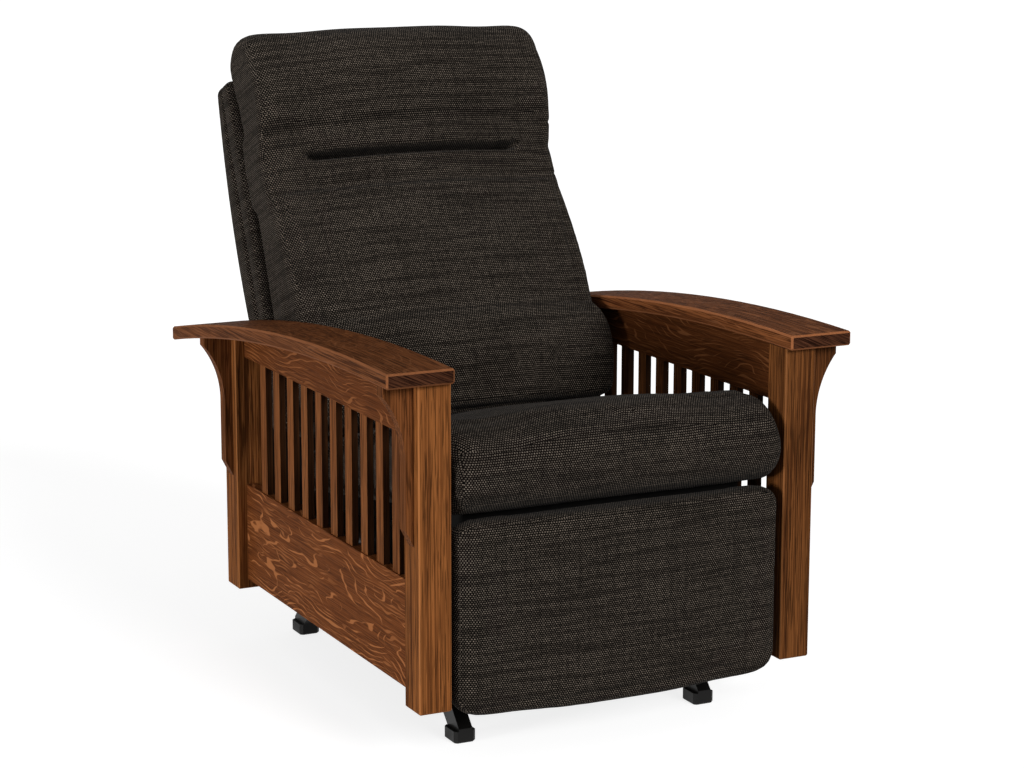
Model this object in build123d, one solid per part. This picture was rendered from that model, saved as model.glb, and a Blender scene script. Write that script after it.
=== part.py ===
from build123d import *
import math
import os

# Rocker recliner with slatted wooden side frames, in millimetres.
# X runs across the chair, Y from the front posts to the back, Z up from the floor.
# Right means +X. The left half mirrors the right half about X = 0.

# Wooden side frames
inner_half = 297.0
post_size = 55.0
post_lift = 98.0
frame_depth = 836.0
arm_width = 113.0
arm_thick = 24.0
arm_front_overhang = 15.0
arm_rear_overhang = 107.0
arm_fall = 67.4574
arm_crown_y = 80.0
arm_run = frame_depth - arm_crown_y
arm_radius = (arm_run**2 + arm_fall**2) / (2 * arm_fall)
arm_crown_z = 642.8
edge_ease = 2.0
arm_ease = 3.0
rail_thick = 18.0
bottom_rail_lift = 16.5
bottom_rail_height = 176.0
top_rail_low_z = 521.0
tenon_depth = 20.0
tenon_thick = 9.0
tenon_shoulder = 14.0
joint_clear = 0.2
slat_count = 10
slat_width = 27.0
slat_thick = 11.0
slat_pitch = 63.0
slat_stub = 8.0
slat_tenon_thick = 7.0
corbel_thick = 22.0
corbel_reach = 50.0
corbel_tail = 14.0
corbel_length = 256.0
corbel_nose = 18.0
corbel_radius = 160.0
corbel_toe = 27.0

# Rear stretcher and the cleats that carry the mechanism
stretcher_thick = 22.0
stretcher_low_z = 130.0
stretcher_height = 120.0
stretcher_inset = 6.0
cleat_length = 340.0
cleat_rear_gap = 121.0
cleat_front_y = frame_depth - post_size - cleat_rear_gap - cleat_length
cleat_height = 110.0
cleat_low_z = 150.0

# Steel mechanism sheet and pins
gauge = 3.0
layer_pitch = 6.0
pin_radius = 4.0
pin_collar = 6.0
pin_head = 1.9
run_clear = 0.1
face_clear = 0.3
mount_plate_low_z = 145.0
mount_plate_height = 110.0
mount_round = 14.0
bolt_inset = 20.0
bolt_count = 4
bolt_radius = 4.0
bolt_head_radius = 8.0
bolt_head = 2.5
bolt_grip = 12.0

# Rocking base
rock_set = 120.0
rock_y = cleat_front_y + rock_set
base_half = 221.0
base_tube = 24.0
base_tube_height = 26.0
base_tube_top = 92.0
base_wall = 2.5
foot_front_set = 307.0
foot_rear_set = 350.0
foot_front_y = rock_y - foot_front_set
foot_rear_y = rock_y + foot_rear_set
foot_inset = 42.0
leg_gauge = 4.0
pad_length = 44.0
pad_width = 38.0
pad_height = 20.0
pad_chamfer = 5.0
cross_tube = 25.0
cross_wall = 2.0
cross_tube_low_z = 180.0
rock_gap = 3.4
cam_radius = 400.0
cam_half_length = 150.0
cam_flange = 20.0
cam_web = 4.0
cam_window_height = 30.0
cam_window_length = 60.0
cam_window_pitch = 82.0
spring_offset = 95.0
spring_inset = 49.0
spring_x = base_half - spring_inset
spring_radius = 17.0
spring_wire = 2.6
spring_turns = 5
cup_height = 8.0
cup_wall = 3.0
cup_clear = 1.2
cup_gauge = 4.0

# Lift links that carry the seat
lift_length = 90.0
lift_lean = 25.0
lift_front_set = 80.0
lift_rear_set = 290.0
lift_front_y = cleat_front_y + lift_front_set
lift_rear_y = cleat_front_y + lift_rear_set
lift_low_z = 185.0
lift_rear_drop = 20.0
lift_width = 24.0
lift_pin_radius = 6.0
lift_collar = 9.0
lift_open_clear = 0.4

# Seat box and cushion
deck_front_z = 402.0
deck_slope = 0.158
seat_side_gap = 49.0
seat_box_half = inner_half - seat_side_gap
seat_rail_thick = 22.0
seat_rail_height = 60.0
seat_front_y = 62.0
seat_rear_set = 45.0
seat_rear_y = lift_rear_y + seat_rear_set
strap_overlap = 30.0
strap_height = 76.0
strap_front_y = 100.0
strap_round = 12.0
horn_width = 26.0
horn_root = 20.0
webbing_count = 6
webbing_width = 50.0
webbing_thick = 2.0
webbing_first_y = 96.0
webbing_rear_gap = 7.0
webbing_last_y = seat_rear_y - seat_rail_thick - webbing_rear_gap - webbing_width
webbing_pitch = (webbing_last_y - webbing_first_y) / (webbing_count - 1)
cushion_side_gap = 6.0
cushion_half = inner_half - cushion_side_gap
cushion_nose_y = -24.0
cushion_front_top = 561.0
cushion_front_width = 86.0
cushion_rear_top = 402.0
cushion_rear_round = 18.0
cushion_top_bow = 14.0
cushion_nose_bow = 22.0
cushion_chin_bow = 7.0
cushion_crown = 24.0
cushion_draw = 46.0
cushion_pinch = 22.0
cushion_face_low = 445.0
cushion_face_high = 500.0
cushion_chin = 52.0

# Back: a plane that leans from a line behind the seat
back_lean = 23.4
back_set = 33.0
back_foot_y = seat_rear_y + back_set
back_foot_z = 372.0
back_pivot_u = 9.5
back_pivot_v = -22.0
bracket_gap = 1.0
stile_outer = seat_box_half - gauge - bracket_gap
stile_width = 46.0
back_member = 22.0
stile_low_u = 24.0
stile_high_u = 640.0
back_rail_width = 60.0
lower_rail_u = 50.0
middle_rail_u = 320.0
bracket_knee_u = 30.0
bracket_high_u = 150.0
bracket_width = 20.0
outside_side_gap = 12.0
outside_half = inner_half - outside_side_gap
outside_low_u = 40.0
outside_high_u = 680.0
outside_top_thick = 87.0
outside_belly = 121.0
outside_belly_u = 300.0
outside_low_thick = 86.0
outside_round = 14.0
pillow_side_gap = 9.0
pillow_half = inner_half - pillow_side_gap
pillow_low_u = 14.0
pillow_high_u = 741.0
pillow_lumbar = 183.0
pillow_lumbar_u = 185.0
pillow_lumbar_bow = 30.0
pillow_chin = 205.0
pillow_chin_round = 24.0
pillow_waist_bow = 11.0
pillow_lip = 108.0
pillow_crease = 92.0
pillow_crease_u = 491.0
pillow_crease_half = 13.0
pillow_roll_bow = 29.0
pillow_brow = 141.0
pillow_brow_u = 690.0
pillow_top_drop = 35.0
pillow_top_bow = 41.0
pillow_crown = 24.0
pillow_draw = 44.0
pillow_pinch = 20.0

# Shares of the way in from a cushion's end to its shoulder, and out from its middle
shoulder_shares = (0.0, 0.3, 1.0)
crown_shares = (0.5, 0.0)

# Leg rest: a two-stage linkage on each side and the padded board
leg_y = 185.0
leg_z = 290.0
torque_radius = 8.0
torque_clear = 0.3
leg_rear_length = 175.0
leg_rear_angle = 249.6
leg_rear_swing = -79.4
leg_front_length = 185.0
leg_front_angle = 106.9
leg_front_swing = 58.6
stay_arm = 172.4
stay_arm_angle = 16.9
stay_back = 44.9
stay_drop = 3.3
stay_swing = 56.0
brace_y = 264.6
brace_z = 321.5
brace_swing = -65.6
brace_ear = 30.0
brace_ear_angle = 60.0
rest_swing = -90.0
link_width = 22.0
brace_width = 16.0
open_clear = 2.4
stay_clear = 0.8
board_side_gap = 27.0
board_half = inner_half - board_side_gap
board_thick = 12.0
board_rear_y = 52.0
board_low_z = 110.0
board_high_z = 384.0
board_round = 24.0
bracket_low_z = 190.0
bracket_plate_high_z = 372.0
bracket_plate_width = 24.0
bracket_flange = 29.0
rest_side_gap = 7.0
rest_half = inner_half - rest_side_gap
rest_low_z = 84.0
rest_high_z = 394.0
rest_face_y = -8.0
rest_crown = 12.0
rest_edge = 16.0
rest_bow = 5.0
rest_low_round = 40.0
rest_high_round = 22.0
rest_draw = 42.0
rest_depth_pinch = 14.0

# Places across the chair that follow from the sizes above
post_outer = inner_half + post_size
rail_outer = post_outer - (post_size - rail_thick) / 2
rail_inner = rail_outer - rail_thick
mount_x = inner_half - gauge
lift_x = mount_x - layer_pitch
seat_plate_x = seat_box_half
leg_rear_x = seat_plate_x + layer_pitch
leg_front_x = leg_rear_x + layer_pitch
bracket_x = leg_front_x + layer_pitch
stay_x = bracket_x + layer_pitch

parts = {}


def add(name, *solids):
    parts[name] = list(solids)


def mirrored(solid):
    return mirror(solid, about=Plane.YZ)


def add_pair(name, solid):
    add(name + "_right", solid)
    add(name + "_left", mirrored(solid))


def add_both(name, *solids):
    add(name, *solids, *[mirrored(s) for s in solids])


def block(x_low, x_high, y_low, y_high, z_low, z_high):
    size = (x_high - x_low, y_high - y_low, z_high - z_low)
    middle = ((x_low + x_high) / 2, (y_low + y_high) / 2, (z_low + z_high) / 2)
    return Pos(*middle) * Box(*size)


def across(face, x_low, width):
    """Carry a face drawn in (Y, Z) to x_low and extrude it towards +X."""
    return extrude(Plane.YZ.offset(x_low) * face, amount=width)


def hollow_tube(x_low, x_high, y_low, y_high, z_low, z_high, wall, along):
    """Square tube, open at both ends, that runs along X or Y."""
    outer = block(x_low, x_high, y_low, y_high, z_low, z_high)
    if along == "X":
        return outer - block(x_low, x_high, y_low + wall, y_high - wall, z_low + wall, z_high - wall)
    return outer - block(x_low + wall, x_high - wall, y_low, y_high, z_low + wall, z_high - wall)


def closed(*edges):
    return make_face(Curve() + list(edges))


def bow(start, end, sag):
    """Arc from start to end that stands off its chord by sag, to the right of travel."""
    run = (end[0] - start[0], end[1] - start[1])
    offset = sag / math.hypot(*run)
    middle = ((start[0] + end[0]) / 2 + run[1] * offset, (start[1] + end[1]) / 2 - run[0] * offset)
    return ThreePointArc(start, middle, end)


def at_angle(start, length, degrees):
    turn = math.radians(degrees)
    return (start[0] + length * math.cos(turn), start[1] + length * math.sin(turn))


def disc(centre, radius):
    return Pos(*centre) * Circle(radius)


def bar(start, end, width):
    """Flat bar with round ends about two pivots, drawn in (Y, Z)."""
    run = (end[0] - start[0], end[1] - start[1])
    middle = ((start[0] + end[0]) / 2, (start[1] + end[1]) / 2)
    turn = math.degrees(math.atan2(run[1], run[0]))
    return Pos(*middle) * (Rot(0, 0, turn) * SlotCenterToCenter(math.hypot(*run), width))


def rod(centre, radius, x_low, x_high):
    return across(disc(centre, radius), x_low, x_high - x_low)


def upright_edges(solid):
    return solid.edges().filter_by(Axis.Z)


def arm_top(y):
    return arm_crown_z - arm_radius + math.sqrt(arm_radius**2 - (y - arm_crown_y) ** 2)


def arm_under(y):
    inner = arm_radius - arm_thick
    return arm_crown_z - arm_radius + math.sqrt(inner**2 - (y - arm_crown_y) ** 2)


def under_arc(y_low, y_high):
    middle = (y_low + y_high) / 2
    return ThreePointArc((y_high, arm_under(y_high)), (middle, arm_under(middle)), (y_low, arm_under(y_low)))


def deck(y):
    return deck_front_z - deck_slope * y


def back_point(u, v):
    """Point of the back at u up its plane and v in front of it, as (Y, Z)."""
    lean = math.radians(back_lean)
    y = back_foot_y + u * math.sin(lean) - v * math.cos(lean)
    z = back_foot_z + u * math.cos(lean) + v * math.sin(lean)
    return (y, z)


# Posts

front_post_y = 0.0
rear_post_y = frame_depth - post_size
rail_low_z = post_lift + bottom_rail_lift
rail_high_z = rail_low_z + bottom_rail_height


def post(y_low):
    y_high = y_low + post_size
    face = closed(
        Line((y_low, arm_under(y_low)), (y_low, post_lift)),
        Line((y_low, post_lift), (y_high, post_lift)),
        Line((y_high, post_lift), (y_high, arm_under(y_high))),
        under_arc(y_low, y_high),
    )
    solid = across(face, inner_half, post_size)
    solid = chamfer(upright_edges(solid), edge_ease)
    solid = chamfer(solid.faces().sort_by(Axis.Z)[0].edges(), edge_ease)
    return solid - mortises(y_low)


def mortises(post_y):
    """Two pockets for the rails' stub tenons, in the face that looks along the side frame."""
    if post_y > front_post_y:
        y_low = post_y
    else:
        y_low = post_y + post_size - tenon_depth - joint_clear
    y_high = y_low + tenon_depth + joint_clear
    x_middle = inner_half + post_size / 2
    x_low = x_middle - tenon_thick / 2 - joint_clear
    x_high = x_middle + tenon_thick / 2 + joint_clear
    low = block(x_low, x_high, y_low, y_high, rail_low_z + tenon_shoulder, rail_high_z - tenon_shoulder)
    high = block(x_low, x_high, y_low, y_high, top_rail_low_z + tenon_shoulder, top_tenon_high(post_y))
    return low + high


def top_tenon_high(post_y):
    return arm_under(post_y + post_size) - tenon_shoulder


# Rails and slats

rail_front_y = post_size
rail_rear_y = rear_post_y
slat_first_y = (rail_front_y + rail_rear_y) / 2 - (slat_pitch * (slat_count - 1) + slat_width) / 2


def tenon(y_low, y_high, z_low, z_high):
    x_middle = inner_half + post_size / 2
    return block(x_middle - tenon_thick / 2, x_middle + tenon_thick / 2, y_low, y_high, z_low, z_high)


def slat_sockets(z_low, z_high):
    """Pockets along a rail, one for the stub of each slat."""
    x_middle = inner_half + post_size / 2
    half = slat_tenon_thick / 2 + joint_clear
    pockets = []
    for index in range(slat_count):
        y_low = slat_first_y + index * slat_pitch
        pockets.append(block(x_middle - half, x_middle + half, y_low, y_low + slat_width, z_low, z_high))
    return pockets


def bottom_rail():
    z_low = rail_low_z + tenon_shoulder + joint_clear
    z_high = rail_high_z - tenon_shoulder - joint_clear
    body = block(rail_inner, rail_outer, rail_front_y, rail_rear_y, rail_low_z, rail_high_z)
    body += tenon(rail_front_y - tenon_depth, rail_front_y, z_low, z_high)
    body += tenon(rail_rear_y, rail_rear_y + tenon_depth, z_low, z_high)
    for pocket in slat_sockets(rail_high_z - slat_stub - joint_clear, rail_high_z):
        body -= pocket
    return body


def top_rail():
    face = closed(
        Line((rail_front_y, arm_under(rail_front_y)), (rail_front_y, top_rail_low_z)),
        Line((rail_front_y, top_rail_low_z), (rail_rear_y, top_rail_low_z)),
        Line((rail_rear_y, top_rail_low_z), (rail_rear_y, arm_under(rail_rear_y))),
        under_arc(rail_front_y, rail_rear_y),
    )
    z_low = top_rail_low_z + tenon_shoulder + joint_clear
    body = across(face, rail_inner, rail_thick)
    front_high = top_tenon_high(front_post_y) - joint_clear
    rear_high = top_tenon_high(rear_post_y) - joint_clear
    body += tenon(rail_front_y - tenon_depth, rail_front_y, z_low, front_high)
    body += tenon(rail_rear_y, rail_rear_y + tenon_depth, z_low, rear_high)
    for pocket in slat_sockets(top_rail_low_z, top_rail_low_z + slat_stub + joint_clear):
        body -= pocket
    return body


def slat(index):
    """Slat with a thinner stub at each end, seated in the rails' pockets."""
    x_middle = inner_half + post_size / 2
    y_low = slat_first_y + index * slat_pitch
    y_high = y_low + slat_width
    half = slat_thick / 2
    body = block(x_middle - half, x_middle + half, y_low, y_high, rail_high_z, top_rail_low_z)
    half = slat_tenon_thick / 2
    z_low = rail_high_z - slat_stub
    z_high = top_rail_low_z + slat_stub
    y_low += joint_clear
    y_high -= joint_clear
    return body + block(x_middle - half, x_middle + half, y_low, y_high, z_low, z_high)


def corbel(post_y):
    """Bracket with a square nose, a hollow curve and a slim tail, under the arm's overhang."""
    y_low = post_y + (post_size - corbel_thick) / 2
    y_high = y_low + corbel_thick
    top = arm_under(y_low)
    low = arm_under(post_y) - corbel_length
    nose_x = post_outer + corbel_reach
    tail_x = post_outer + corbel_tail
    nose_low = arm_under(post_y) - corbel_nose
    rise = math.sqrt(corbel_radius**2 - (corbel_radius - corbel_reach + corbel_tail) ** 2)
    curve_low = nose_low - rise
    half_turn = math.asin(rise / corbel_radius) / 2
    middle_x = tail_x + corbel_radius * (1 - math.cos(half_turn))
    middle_z = curve_low + corbel_radius * math.sin(half_turn)
    face = closed(
        Line((post_outer, low), (post_outer, top)),
        Line((post_outer, top), (nose_x, top)),
        Line((nose_x, top), (nose_x, nose_low)),
        ThreePointArc((nose_x, nose_low), (middle_x, middle_z), (tail_x, curve_low)),
        Line((tail_x, curve_low), (tail_x, low + corbel_toe)),
        Line((tail_x, low + corbel_toe), (post_outer, low)),
    )
    solid = extrude(Plane.XZ.offset(-y_high) * face, amount=corbel_thick)
    return solid & below_arm()


def below_arm():
    """Everything under the arm's lower face, used to trim what meets it."""
    y_low = -arm_front_overhang
    y_high = frame_depth + arm_rear_overhang
    face = closed(
        Line((y_low, arm_under(y_low)), (y_low, post_lift)),
        Line((y_low, post_lift), (y_high, post_lift)),
        Line((y_high, post_lift), (y_high, arm_under(y_high))),
        under_arc(y_low, y_high),
    )
    return across(face, inner_half, arm_width)


def arm():
    """Bent arm board of even thickness, higher at the front than at the back."""
    y_low = -arm_front_overhang
    y_high = frame_depth + arm_rear_overhang
    middle = (y_low + y_high) / 2
    face = closed(
        under_arc(y_low, y_high),
        Line((y_low, arm_under(y_low)), (y_low, arm_top(y_low))),
        ThreePointArc((y_low, arm_top(y_low)), (middle, arm_top(middle)), (y_high, arm_top(y_high))),
        Line((y_high, arm_top(y_high)), (y_high, arm_under(y_high))),
    )
    solid = across(face, inner_half, arm_width)
    return chamfer(solid.edges(), arm_ease)


def add_side_frames():
    add_pair("post_front", post(front_post_y))
    add_pair("post_rear", post(rear_post_y))
    add_pair("rail_bottom", bottom_rail())
    add_pair("rail_top", top_rail())
    slats = [slat(index) for index in range(slat_count)]
    add("slats_right", *slats)
    add("slats_left", *[mirrored(s) for s in slats])
    add_pair("corbel_front", corbel(front_post_y))
    add_pair("corbel_rear", corbel(rear_post_y))
    add_pair("arm", arm())
    y_high = frame_depth - stretcher_inset
    z_high = stretcher_low_z + stretcher_height
    stretcher = block(-inner_half, inner_half, y_high - stretcher_thick, y_high, stretcher_low_z, z_high)
    add("stretcher_rear", chamfer(stretcher.edges().filter_by(Axis.X), edge_ease))


# Mechanism mounts: cleats on the rails, plates on the cleats, tubes between the plates

front_tube_y = rock_y - spring_offset
rear_tube_y = rock_y + spring_offset


def bolt_places():
    first_y = cleat_front_y + bolt_inset
    step = (cleat_length - 2 * bolt_inset) / (bolt_count - 1)
    return [(first_y + index * step, mount_plate_low_z + bolt_inset) for index in range(bolt_count)]


def cleat():
    y_high = cleat_front_y + cleat_length
    body = block(inner_half, rail_inner, cleat_front_y, y_high, cleat_low_z, cleat_low_z + cleat_height)
    for place in bolt_places():
        body -= rod(place, bolt_radius + joint_clear, inner_half, rail_inner)
    return body


def mount_plate():
    y_high = cleat_front_y + cleat_length
    z_high = mount_plate_low_z + mount_plate_height
    body = block(mount_x, inner_half, cleat_front_y, y_high, mount_plate_low_z, z_high)
    body = fillet(body.edges().filter_by(Axis.X), mount_round)
    for place in bolt_places():
        body -= rod(place, bolt_radius + joint_clear, mount_x, inner_half)
    return body


def frame_bolt(place):
    """Screw through plate and cleat, with a flat head on the plate; the cleat hides its tip."""
    shank = rod(place, bolt_radius, mount_x, inner_half + bolt_grip)
    return shank + rod(place, bolt_head_radius, mount_x - bolt_head, mount_x)


def mechanism_tube(y_middle):
    """Square steel tube between the mount plates, with a cup below it for each rocker spring."""
    half = cross_tube / 2
    z_high = cross_tube_low_z + cross_tube
    y_low = y_middle - half
    tube = hollow_tube(-mount_x, mount_x, y_low, y_middle + half, cross_tube_low_z, z_high, cross_wall, "X")
    return tube + [spring_cup(x, y_middle, cross_tube_low_z, True) for x in (-spring_x, spring_x)]


def spring_cup(x, y, z, opens_down):
    """Shallow steel cup that holds one end of a rocker spring."""
    inner = spring_radius + spring_wire + cup_clear
    z_low = z - cup_height if opens_down else z
    floor_z = z - cup_gauge if opens_down else z
    shell = Pos(x, y, z_low + cup_height / 2) * Cylinder(inner + cup_wall, cup_height)
    shell -= Pos(x, y, z_low + cup_height / 2) * Cylinder(inner, cup_height)
    return shell + Pos(x, y, floor_z + cup_gauge / 2) * Cylinder(inner + cup_wall, cup_gauge)


def rocker_cam():
    """Pressed rocker: a web plate with windows and a curved foot flange that rolls on the base."""
    contact_z = base_tube_top + rock_gap
    centre_z = contact_z + cam_radius
    y_low = rock_y - cam_half_length
    y_high = rock_y + cam_half_length
    end_z = centre_z - math.sqrt(cam_radius**2 - cam_half_length**2)
    inner_radius = cam_radius - leg_gauge
    inner_z = centre_z - math.sqrt(inner_radius**2 - cam_half_length**2)
    web = closed(
        Line((y_low, cross_tube_low_z), (y_low, end_z)),
        ThreePointArc((y_low, end_z), (rock_y, contact_z), (y_high, end_z)),
        Line((y_high, end_z), (y_high, cross_tube_low_z)),
        Line((y_high, cross_tube_low_z), (y_low, cross_tube_low_z)),
    )
    foot = closed(
        Line((y_low, inner_z), (y_low, end_z)),
        ThreePointArc((y_low, end_z), (rock_y, contact_z), (y_high, end_z)),
        Line((y_high, end_z), (y_high, inner_z)),
        ThreePointArc((y_high, inner_z), (rock_y, contact_z + leg_gauge), (y_low, inner_z)),
    )
    window_z = (cross_tube_low_z + contact_z) / 2
    for side in (-1, 0, 1):
        window = SlotOverall(cam_window_length, cam_window_height)
        web -= Pos(rock_y + side * cam_window_pitch, window_z) * window
    z_low = cross_tube_low_z - leg_gauge
    x_low = base_half - cam_flange / 2
    cap = block(x_low, x_low + cam_flange, y_low, y_high, z_low, cross_tube_low_z)
    return across(web, base_half - cam_web / 2, cam_web) + across(foot, x_low, cam_flange) + cap


# Rocking base: two side rails with pressed legs, two cross tubes, four glides


base_tube_low = base_tube_top - base_tube_height
base_front_y = foot_front_y + foot_inset
base_rear_y = foot_rear_y - foot_inset


def base_leg(foot_y, rail_y):
    """Pressed leg that runs down and outward from the rail's end to its glide."""
    outward = 1 if foot_y > rail_y else -1
    foot_edge = foot_y + outward * pad_length / 2
    knee_y = foot_y - outward * pad_length / 2
    top_y = rail_y - outward * base_tube_height
    face = closed(
        Line((foot_edge, pad_height), (foot_edge, pad_height + leg_gauge)),
        Line((foot_edge, pad_height + leg_gauge), (rail_y, base_tube_top)),
        Line((rail_y, base_tube_top), (rail_y, base_tube_low)),
        Line((rail_y, base_tube_low), (top_y, base_tube_low)),
        Line((top_y, base_tube_low), (knee_y, pad_height)),
        Line((knee_y, pad_height), (foot_edge, pad_height)),
    )
    return across(face, base_half - base_tube / 2, base_tube)


def base_rail():
    x_low = base_half - base_tube / 2
    x_high = base_half + base_tube / 2
    rail = hollow_tube(x_low, x_high, base_front_y, base_rear_y, base_tube_low, base_tube_top, base_wall, "Y")
    rail += base_leg(foot_front_y, base_front_y)
    rail += base_leg(foot_rear_y, base_rear_y)
    shelf_high = base_tube_low + cup_gauge
    inner = spring_radius + spring_wire + cup_clear + cup_wall
    for y in (front_tube_y, rear_tube_y):
        rail += block(spring_x, x_low, y - inner, y + inner, base_tube_low, shelf_high)
        rail += spring_cup(spring_x, y, base_tube_low, False)
    return rail


def glide(foot_y):
    """Moulded glide with chamfered sides, under a leg."""
    body = block(
        base_half - pad_width / 2,
        base_half + pad_width / 2,
        foot_y - pad_length / 2,
        foot_y + pad_length / 2,
        0,
        pad_height,
    )
    body = chamfer(upright_edges(body), pad_chamfer)
    return chamfer(body.faces().sort_by(Axis.Z)[0].edges(), edge_ease)


def base_cross(y_middle):
    half = base_tube / 2
    x_high = base_half - half
    y_low = y_middle - half
    return hollow_tube(-x_high, x_high, y_low, y_middle + half, base_tube_low, base_tube_top, base_wall, "X")


def helix_point(x, y, z_low, z_high, turns):
    angle = 2 * math.pi * turns
    z = z_low + (z_high - z_low) * turns / spring_turns
    return Vector(x + spring_radius * math.cos(angle), y + spring_radius * math.sin(angle), z)


def helix_tangent(z_low, z_high, turns):
    angle = 2 * math.pi * turns
    climb = (z_high - z_low) / spring_turns
    round_way = 2 * math.pi * spring_radius
    return Vector(-round_way * math.sin(angle), round_way * math.cos(angle), climb).normalized()


def biarc(start, start_way, end, end_way):
    """Two arcs that leave start along start_way, meet smoothly and reach end along end_way."""
    chord = end - start
    both = start_way + end_way
    spread = 1 - start_way.dot(end_way)
    root = math.sqrt(chord.dot(both) ** 2 + 2 * spread * chord.dot(chord))
    reach = (root - chord.dot(both)) / (2 * spread)
    first = start + start_way * reach
    second = end - end_way * reach
    middle = (first + second) * 0.5
    way = (second - first).normalized()
    return [Edge.make_tangent_arc(start, start_way, middle), Edge.make_tangent_arc(middle, way, end)]


def coil_spring(x, y, z_low, z_high):
    """Rocker spring: one unbroken wire through all its turns."""
    low = z_low + spring_wire
    high = z_high - spring_wire
    edges = []
    for step in range(spring_turns * 4):
        t0 = step / 4
        t1 = (step + 1) / 4
        start = helix_point(x, y, low, high, t0)
        end = helix_point(x, y, low, high, t1)
        edges += biarc(start, helix_tangent(low, high, t0), end, helix_tangent(low, high, t1))
    first_way = helix_tangent(low, high, 0)
    section = Plane(origin=helix_point(x, y, low, high, 0), z_dir=first_way) * RegularPolygon(spring_wire, 6)
    return sweep(section, path=Wire(edges))


def least_gap(points, diameter, skip):
    """Least clear space between points of one wire that lie at least skip points apart."""
    best = None
    for i, point in enumerate(points):
        for other in points[i + skip :]:
            gap = (point - other).length - diameter
            best = gap if best is None else min(best, gap)
    return best


def add_springs():
    z_low = base_tube_low + cup_gauge
    z_high = cross_tube_low_z - cup_gauge
    for name, y in (("rocker_springs_front", front_tube_y), ("rocker_springs_rear", rear_tube_y)):
        add_both(name, coil_spring(spring_x, y, z_low, z_high))
    samples = 24
    low = z_low + spring_wire
    high = z_high - spring_wire
    points = [helix_point(spring_x, 0, low, high, n / samples) for n in range(spring_turns * samples + 1)]
    print("least gap in a rocker spring", round(least_gap(points, 2 * spring_wire, samples // 2), 2))


def add_base():
    add_pair("base_rail", base_rail())
    add("base_cross_front", base_cross(base_front_y + base_tube_height))
    add("base_cross_rear", base_cross(base_rear_y - base_tube_height))
    add_both("glide_pads", glide(foot_front_y), glide(foot_rear_y))
    add_springs()


def lift_low(front):
    if front:
        return (lift_front_y, lift_low_z)
    return (lift_rear_y, lift_low_z - lift_rear_drop)


def lift_high(front):
    return at_angle(lift_low(front), lift_length, 90 - lift_lean)


def lift_pin(front):
    """Shouldered pin fixed to the mount plate, with a head inside the link."""
    place = lift_low(front)
    link_low = lift_x - face_clear
    collar = rod(place, lift_collar, lift_x + gauge + face_clear, mount_x)
    shank = rod(place, lift_pin_radius, link_low, mount_x)
    return collar + shank + rod(place, lift_collar, link_low - pin_head, link_low)


def lift_link(front):
    face = bar(lift_low(front), lift_high(front), lift_width)
    upper_clear = lift_open_clear if front else run_clear
    face -= disc(lift_low(front), lift_pin_radius + run_clear)
    face -= disc(lift_high(front), lift_pin_radius + upper_clear)
    return across(face, lift_x, gauge)


def add_mounts():
    add_both("mount_cleats", cleat())
    add_both("mount_plates", mount_plate())
    add_both("frame_bolts", *[frame_bolt(place) for place in bolt_places()])
    add("cross_tube_front", mechanism_tube(front_tube_y))
    add("cross_tube_rear", mechanism_tube(rear_tube_y))
    add_both("rocker_cams", rocker_cam())
    add_both("lift_pins", lift_pin(True), lift_pin(False))
    add_both("lift_links_front", lift_link(True))
    add_both("lift_links_rear", lift_link(False))


# Seat: a wooden box on two side straps, with webbing and the cushion


def deck_strip(y_low, y_high, low, high):
    """Outline between two heights over the deck's slope; below the deck they are negative."""
    return closed(
        Line((y_low, deck(y_low) + high), (y_low, deck(y_low) + low)),
        Line((y_low, deck(y_low) + low), (y_high, deck(y_high) + low)),
        Line((y_high, deck(y_high) + low), (y_high, deck(y_high) + high)),
        Line((y_high, deck(y_high) + high), (y_low, deck(y_low) + high)),
    )


back_pivot = back_point(back_pivot_u, back_pivot_v)
knee = at_angle((leg_y, leg_z), leg_rear_length, leg_rear_angle)
ankle = at_angle(knee, leg_front_length, leg_front_angle)
stay_low = at_angle((leg_y, leg_z), stay_arm, leg_rear_angle + stay_arm_angle)
stay_high = (ankle[0] + stay_back, ankle[1] - stay_drop)
brace_end = at_angle(knee, -brace_ear, leg_front_angle + brace_ear_angle)


def stud(centre, carrier_x, link_face_x, radius, collar):
    """Riveted pin that stands on a plate, with a collar up to the link and a head beyond it."""
    collar_high = link_face_x - face_clear
    shank_high = link_face_x + gauge + face_clear
    solid = rod(centre, radius, carrier_x, shank_high) + rod(centre, collar, carrier_x, collar_high)
    return solid + rod(centre, collar, shank_high, shank_high + pin_head)


def seat_plate():
    """Side strap below the seat rail, with a horn at the rear that reaches the back's pivot."""
    outline = deck_strip(strap_front_y, seat_rear_y, -strap_overlap - strap_height, -strap_overlap)
    strap = across(outline, seat_plate_x, gauge)
    strap = fillet(strap.edges().filter_by(Axis.X), strap_round)
    root = (seat_rear_y - horn_root, deck(seat_rear_y) - strap_overlap - strap_height / 2)
    horn = across(bar(root, back_pivot, horn_width), seat_plate_x, gauge)
    hole = rod((leg_y, leg_z), torque_radius + torque_clear, seat_plate_x, seat_plate_x + gauge)
    return strap + horn - hole


def seat_side_rail():
    x_low = seat_box_half - seat_rail_thick
    return across(deck_strip(seat_front_y, seat_rear_y, -seat_rail_height, 0), x_low, seat_rail_thick)


def seat_end_rail(y_low):
    half = seat_box_half - seat_rail_thick
    return across(deck_strip(y_low, y_low + seat_rail_thick, -seat_rail_height, 0), -half, 2 * half)


def webbing(index):
    y_low = webbing_first_y + index * webbing_pitch
    face = deck_strip(y_low, y_low + webbing_width, 0, webbing_thick)
    return across(face, -seat_box_half, 2 * seat_box_half)


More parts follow.
